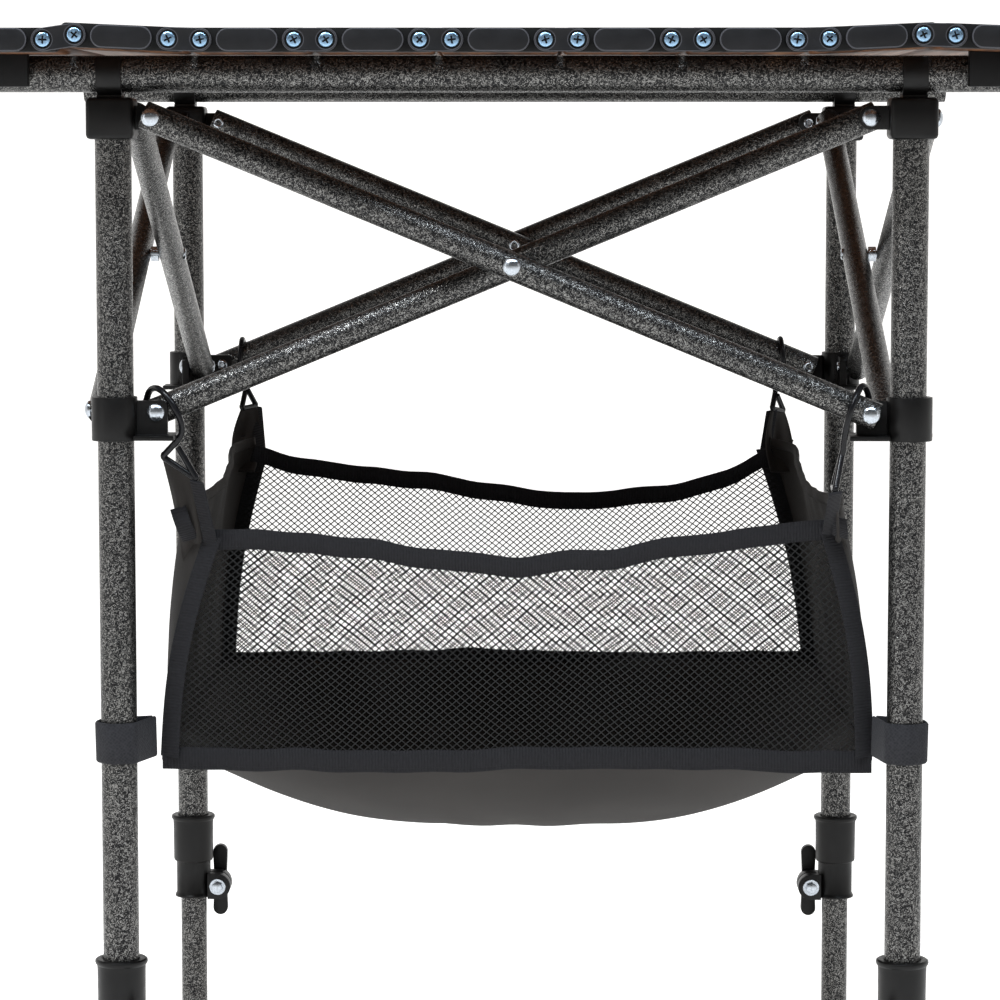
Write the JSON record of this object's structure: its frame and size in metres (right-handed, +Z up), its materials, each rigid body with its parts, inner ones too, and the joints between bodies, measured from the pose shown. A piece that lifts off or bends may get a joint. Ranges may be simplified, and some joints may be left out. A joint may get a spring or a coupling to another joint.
{
  "type": "folding camp kitchen table",
  "caption": "Roll-top table of hinged wood-look slats on a folding scissor frame with telescoping legs, and a fabric and mesh basket hung under the top by wire hooks.",
  "frame": {"origin": "on the ground under the middle of the table top", "axes": "+X to the table's right as seen from the front, +Y to the back, +Z up; the slats run along Y"},
  "size_m": [0.6547, 0.6298, 0.803],
  "materials": {
    "hammertone": "hammered charcoal paint with silver flecks",
    "black_plastic": "moulded, slightly shiny",
    "foot_rubber": "matte",
    "bright_steel": "zinc plated",
    "slat_finish": "walnut-look film with black moulded ends",
    "charcoal_cloth": "woven, with see-through mesh on two sides",
    "webbing": "ribbed black webbing",
    "coated_wire": "black dipped coating over wire"
  },
  "bodies": {
    "front_left_leg": {"upper_leg_front_left": "hammertone", "top_bracket_front_left": "black_plastic", "collar_front_left": "black_plastic", "rail_front": "hammertone"},
    "front_outer_arm": {"arm_front_outer": "hammertone", "centre_rivet_front": "bright_steel"},
    "front_inner_arm": {"arm_front_inner": "hammertone"},
    "left_inner_arm": {"arm_left_inner": "hammertone"},
    "left_outer_arm": {"arm_left_outer": "hammertone", "centre_rivet_left": "bright_steel"},
    "back_inner_arm": {"arm_back_inner": "hammertone"},
    "back_outer_arm": {"arm_back_outer": "hammertone", "centre_rivet_back": "bright_steel"},
    "right_outer_arm": {"arm_right_outer": "hammertone", "centre_rivet_right": "bright_steel"},
    "right_inner_arm": {"arm_right_inner": "hammertone"},
    "front_right_leg": {"upper_leg_front_right": "hammertone", "top_bracket_front_right": "black_plastic", "collar_front_right": "black_plastic"},
    "back_left_leg": {"upper_leg_back_left": "hammertone", "top_bracket_back_left": "black_plastic", "collar_back_left": "black_plastic", "rail_back": "hammertone"},
    "back_right_leg": {"upper_leg_back_right": "hammertone", "top_bracket_back_right": "black_plastic", "collar_back_right": "black_plastic"},
    "front_left_slider": {"slider_front_left": "black_plastic", "strap_front_left": "webbing", "basket": "charcoal_cloth"},
    "front_right_slider": {"slider_front_right": "black_plastic", "strap_front_right": "webbing"},
    "back_left_slider": {"slider_back_left": "black_plastic", "strap_back_left": "webbing"},
    "back_right_slider": {"slider_back_right": "black_plastic", "strap_back_right": "webbing"},
    "front_left_hook": {"s_hook_front_left": "coated_wire"},
    "front_left_lower_leg": {"lower_leg_front_left": "hammertone", "foot_front_left": "foot_rubber"},
    "front_left_knob": {"clamp_knob_front_left": "black_plastic"},
    "front_right_hook": {"s_hook_front_right": "coated_wire"},
    "front_right_lower_leg": {"lower_leg_front_right": "hammertone", "foot_front_right": "foot_rubber"},
    "front_right_knob": {"clamp_knob_front_right": "black_plastic"},
    "back_right_hook": {"s_hook_back_right": "coated_wire"},
    "back_right_lower_leg": {"lower_leg_back_right": "hammertone", "foot_back_right": "foot_rubber"},
    "back_right_knob": {"clamp_knob_back_right": "black_plastic"},
    "back_left_hook": {"s_hook_back_left": "coated_wire"},
    "back_left_lower_leg": {"lower_leg_back_left": "hammertone", "foot_back_left": "foot_rubber"},
    "back_left_knob": {"clamp_knob_back_left": "black_plastic"},
    "top_middle": {"slat_5": "slat_finish"},
    "top_slat_1": {"slat_1": "slat_finish"},
    "top_slat_2": {"slat_2": "slat_finish"},
    "top_slat_3": {"slat_3": "slat_finish"},
    "top_slat_4": {"slat_4": "slat_finish"},
    "top_slat_6": {"slat_6": "slat_finish"},
    "top_slat_7": {"slat_7": "slat_finish"},
    "top_slat_8": {"slat_8": "slat_finish"},
    "top_slat_9": {"slat_9": "slat_finish"}
  },
  "joints": [
    {"name": "fold", "type": "hinge", "parent": "front_left_leg", "child": "front_outer_arm", "pos_m": [-0.2083, -0.24, 0.7485], "axis": [0, 1, 0], "range_deg": [0, 57], "deforming": ["basket", "strap_front_left", "strap_front_right", "strap_back_right", "strap_back_left"]},
    {"name": "front_cross", "type": "hinge", "parent": "front_outer_arm", "child": "front_inner_arm", "pos_m": [0.0074, -0.24, 0.6597], "axis": [0, 1, 0], "range_deg": [-114, 0]},
    {"name": "front_right_top_pivot", "type": "hinge", "parent": "front_inner_arm", "child": "front_right_leg", "pos_m": [0.2231, -0.24, 0.7485], "axis": [0, 1, 0], "range_deg": [0, 57]},
    {"name": "front_right_slider_pivot", "type": "hinge", "parent": "front_outer_arm", "child": "front_right_slider", "pos_m": [0.2231, -0.24, 0.5709], "axis": [0, 1, 0], "range_deg": [-57, 0]},
    {"name": "front_left_slider_pivot", "type": "hinge", "parent": "front_inner_arm", "child": "front_left_slider", "pos_m": [-0.2083, -0.24, 0.5709], "axis": [0, 1, 0], "range_deg": [0, 57]},
    {"name": "left_top_pivot", "type": "hinge", "parent": "front_left_leg", "child": "left_inner_arm", "pos_m": [-0.2326, -0.2157, 0.7485], "axis": [-1, 0, 0], "range_deg": [0, 57]},
    {"name": "left_cross", "type": "hinge", "parent": "left_inner_arm", "child": "left_outer_arm", "pos_m": [-0.2326, 0, 0.6597], "axis": [-1, 0, 0], "range_deg": [-114, 0]},
    {"name": "back_left_top_pivot", "type": "hinge", "parent": "left_outer_arm", "child": "back_left_leg", "pos_m": [-0.2326, 0.2157, 0.7485], "axis": [-1, 0, 0], "range_deg": [0, 57]},
    {"name": "back_left_slider_pivot", "type": "hinge", "parent": "left_inner_arm", "child": "back_left_slider", "pos_m": [-0.2326, 0.2157, 0.5709], "axis": [-1, 0, 0], "range_deg": [-57, 0]},
    {"name": "back_top_pivot", "type": "hinge", "parent": "back_left_leg", "child": "back_inner_arm", "pos_m": [-0.2083, 0.24, 0.7485], "axis": [0, 1, 0], "range_deg": [0, 57]},
    {"name": "back_cross", "type": "hinge", "parent": "back_inner_arm", "child": "back_outer_arm", "pos_m": [0.0074, 0.24, 0.6597], "axis": [0, 1, 0], "range_deg": [-114, 0]},
    {"name": "back_right_top_pivot", "type": "hinge", "parent": "back_outer_arm", "child": "back_right_leg", "pos_m": [0.2231, 0.24, 0.7485], "axis": [0, 1, 0], "range_deg": [0, 57]},
    {"name": "back_right_slider_pivot", "type": "hinge", "parent": "back_inner_arm", "child": "back_right_slider", "pos_m": [0.2231, 0.24, 0.5709], "axis": [0, 1, 0], "range_deg": [-57, 0]},
    {"name": "right_top_pivot", "type": "hinge", "parent": "front_right_leg", "child": "right_outer_arm", "pos_m": [0.2474, -0.2157, 0.7485], "axis": [-1, 0, 0], "range_deg": [0, 57]},
    {"name": "right_cross", "type": "hinge", "parent": "right_outer_arm", "child": "right_inner_arm", "pos_m": [0.2474, 0, 0.6597], "axis": [-1, 0, 0], "range_deg": [-114, 0]},
    {"name": "hook_swing_front_left", "type": "hinge", "parent": "front_inner_arm", "child": "front_left_hook", "pos_m": [-0.19708, -0.2287, 0.58698], "axis": [0, 1, 0], "range_deg": [0, 22.8]},
    {"name": "hook_swing_front_right", "type": "hinge", "parent": "front_outer_arm", "child": "front_right_hook", "pos_m": [0.21188, -0.2513, 0.58698], "axis": [0, 1, 0], "range_deg": [-22.8, 0]},
    {"name": "hook_swing_back_right", "type": "hinge", "parent": "back_inner_arm", "child": "back_right_hook", "pos_m": [0.21188, 0.2287, 0.58698], "axis": [0, 1, 0], "range_deg": [-22.8, 0]},
    {"name": "hook_swing_back_left", "type": "hinge", "parent": "back_outer_arm", "child": "back_left_hook", "pos_m": [-0.19708, 0.2513, 0.58698], "axis": [0, 1, 0], "range_deg": [0, 22.8]},
    {"name": "leg_slide_front_left", "type": "slide", "parent": "front_left_leg", "child": "front_left_lower_leg", "axis": [0, 0, -1], "range_m": [-0.14, 0.05]},
    {"name": "leg_slide_front_right", "type": "slide", "parent": "front_right_leg", "child": "front_right_lower_leg", "axis": [0, 0, -1], "range_m": [-0.14, 0.05]},
    {"name": "leg_slide_back_right", "type": "slide", "parent": "back_right_leg", "child": "back_right_lower_leg", "axis": [0, 0, -1], "range_m": [-0.14, 0.05]},
    {"name": "leg_slide_back_left", "type": "slide", "parent": "back_left_leg", "child": "back_left_lower_leg", "axis": [0, 0, -1], "range_m": [-0.14, 0.05]},
    {"name": "knob_turn_front_left", "type": "hinge", "parent": "front_left_leg", "child": "front_left_knob", "pos_m": [-0.2141, -0.24, 0.1813], "axis": [0, 1, 0], "continuous": true},
    {"name": "knob_turn_front_right", "type": "hinge", "parent": "front_right_leg", "child": "front_right_knob", "pos_m": [0.2289, -0.24, 0.1813], "axis": [0, 1, 0], "continuous": true},
    {"name": "knob_turn_back_right", "type": "hinge", "parent": "back_right_leg", "child": "back_right_knob", "pos_m": [0.2289, 0.24, 0.1813], "axis": [0, 1, 0], "continuous": true},
    {"name": "knob_turn_back_left", "type": "hinge", "parent": "back_left_leg", "child": "back_left_knob", "pos_m": [-0.2141, 0.24, 0.1813], "axis": [0, 1, 0], "continuous": true},
    {"name": "top_lift", "type": "slide", "parent": "front_left_leg", "child": "top_middle", "axis": [0, 0, 1], "range_m": [0, 0.12]},
    {"name": "top_roll", "type": "hinge", "parent": "top_middle", "child": "top_slat_6", "pos_m": [0.0272, 0, 0.793], "axis": [0, -1, 0], "range_deg": [0, 37]},
    {"name": "slat_hinge_6_7", "type": "hinge", "parent": "top_slat_6", "child": "top_slat_7", "pos_m": [0.1002, 0, 0.793], "axis": [0, -1, 0], "range_deg": [0, 37]},
    {"name": "slat_hinge_7_8", "type": "hinge", "parent": "top_slat_7", "child": "top_slat_8", "pos_m": [0.1732, 0, 0.793], "axis": [0, -1, 0], "range_deg": [0, 37]},
    {"name": "slat_hinge_8_9", "type": "hinge", "parent": "top_slat_8", "child": "top_slat_9", "pos_m": [0.24614, 0, 0.7958], "axis": [0, -1, 0], "range_deg": [0, 37]},
    {"name": "slat_hinge_4_5", "type": "hinge", "parent": "top_middle", "child": "top_slat_4", "pos_m": [-0.0272, 0, 0.793], "axis": [0, 1, 0], "range_deg": [0, 37]},
    {"name": "slat_hinge_3_4", "type": "hinge", "parent": "top_slat_4", "child": "top_slat_3", "pos_m": [-0.1002, 0, 0.793], "axis": [0, 1, 0], "range_deg": [0, 37]},
    {"name": "slat_hinge_2_3", "type": "hinge", "parent": "top_slat_3", "child": "top_slat_2", "pos_m": [-0.1732, 0, 0.793], "axis": [0, 1, 0], "range_deg": [0, 37]},
    {"name": "slat_hinge_1_2", "type": "hinge", "parent": "top_slat_2", "child": "top_slat_1", "pos_m": [-0.24614, 0, 0.7958], "axis": [0, 1, 0], "range_deg": [0, 37]}
  ],
  "couplings": [
    {"joint": "front_cross", "follows": "fold", "ratio": -2},
    {"joint": "front_right_top_pivot", "follows": "fold", "ratio": 1},
    {"joint": "front_right_slider_pivot", "follows": "fold", "ratio": -1},
    {"joint": "front_left_slider_pivot", "follows": "fold", "ratio": 1},
    {"joint": "left_top_pivot", "follows": "fold", "ratio": 1},
    {"joint": "left_cross", "follows": "fold", "ratio": -2},
    {"joint": "back_left_top_pivot", "follows": "fold", "ratio": 1},
    {"joint": "back_left_slider_pivot", "follows": "fold", "ratio": -1},
    {"joint": "back_top_pivot", "follows": "fold", "ratio": 1},
    {"joint": "back_cross", "follows": "fold", "ratio": -2},
    {"joint": "back_right_top_pivot", "follows": "fold", "ratio": 1},
    {"joint": "back_right_slider_pivot", "follows": "fold", "ratio": -1},
    {"joint": "right_top_pivot", "follows": "fold", "ratio": 1},
    {"joint": "right_cross", "follows": "fold", "ratio": -2},
    {"joint": "hook_swing_front_left", "follows": "fold", "ratio": 0.4},
    {"joint": "hook_swing_front_right", "follows": "fold", "ratio": -0.4},
    {"joint": "hook_swing_back_right", "follows": "fold", "ratio": -0.4},
    {"joint": "hook_swing_back_left", "follows": "fold", "ratio": 0.4},
    {"joint": "slat_hinge_6_7", "follows": "top_roll", "ratio": 1},
    {"joint": "slat_hinge_7_8", "follows": "top_roll", "ratio": 1},
    {"joint": "slat_hinge_8_9", "follows": "top_roll", "ratio": 1},
    {"joint": "slat_hinge_4_5", "follows": "top_roll", "ratio": 1},
    {"joint": "slat_hinge_3_4", "follows": "top_roll", "ratio": 1},
    {"joint": "slat_hinge_2_3", "follows": "top_roll", "ratio": 1},
    {"joint": "slat_hinge_1_2", "follows": "top_roll", "ratio": 1}
  ]
}
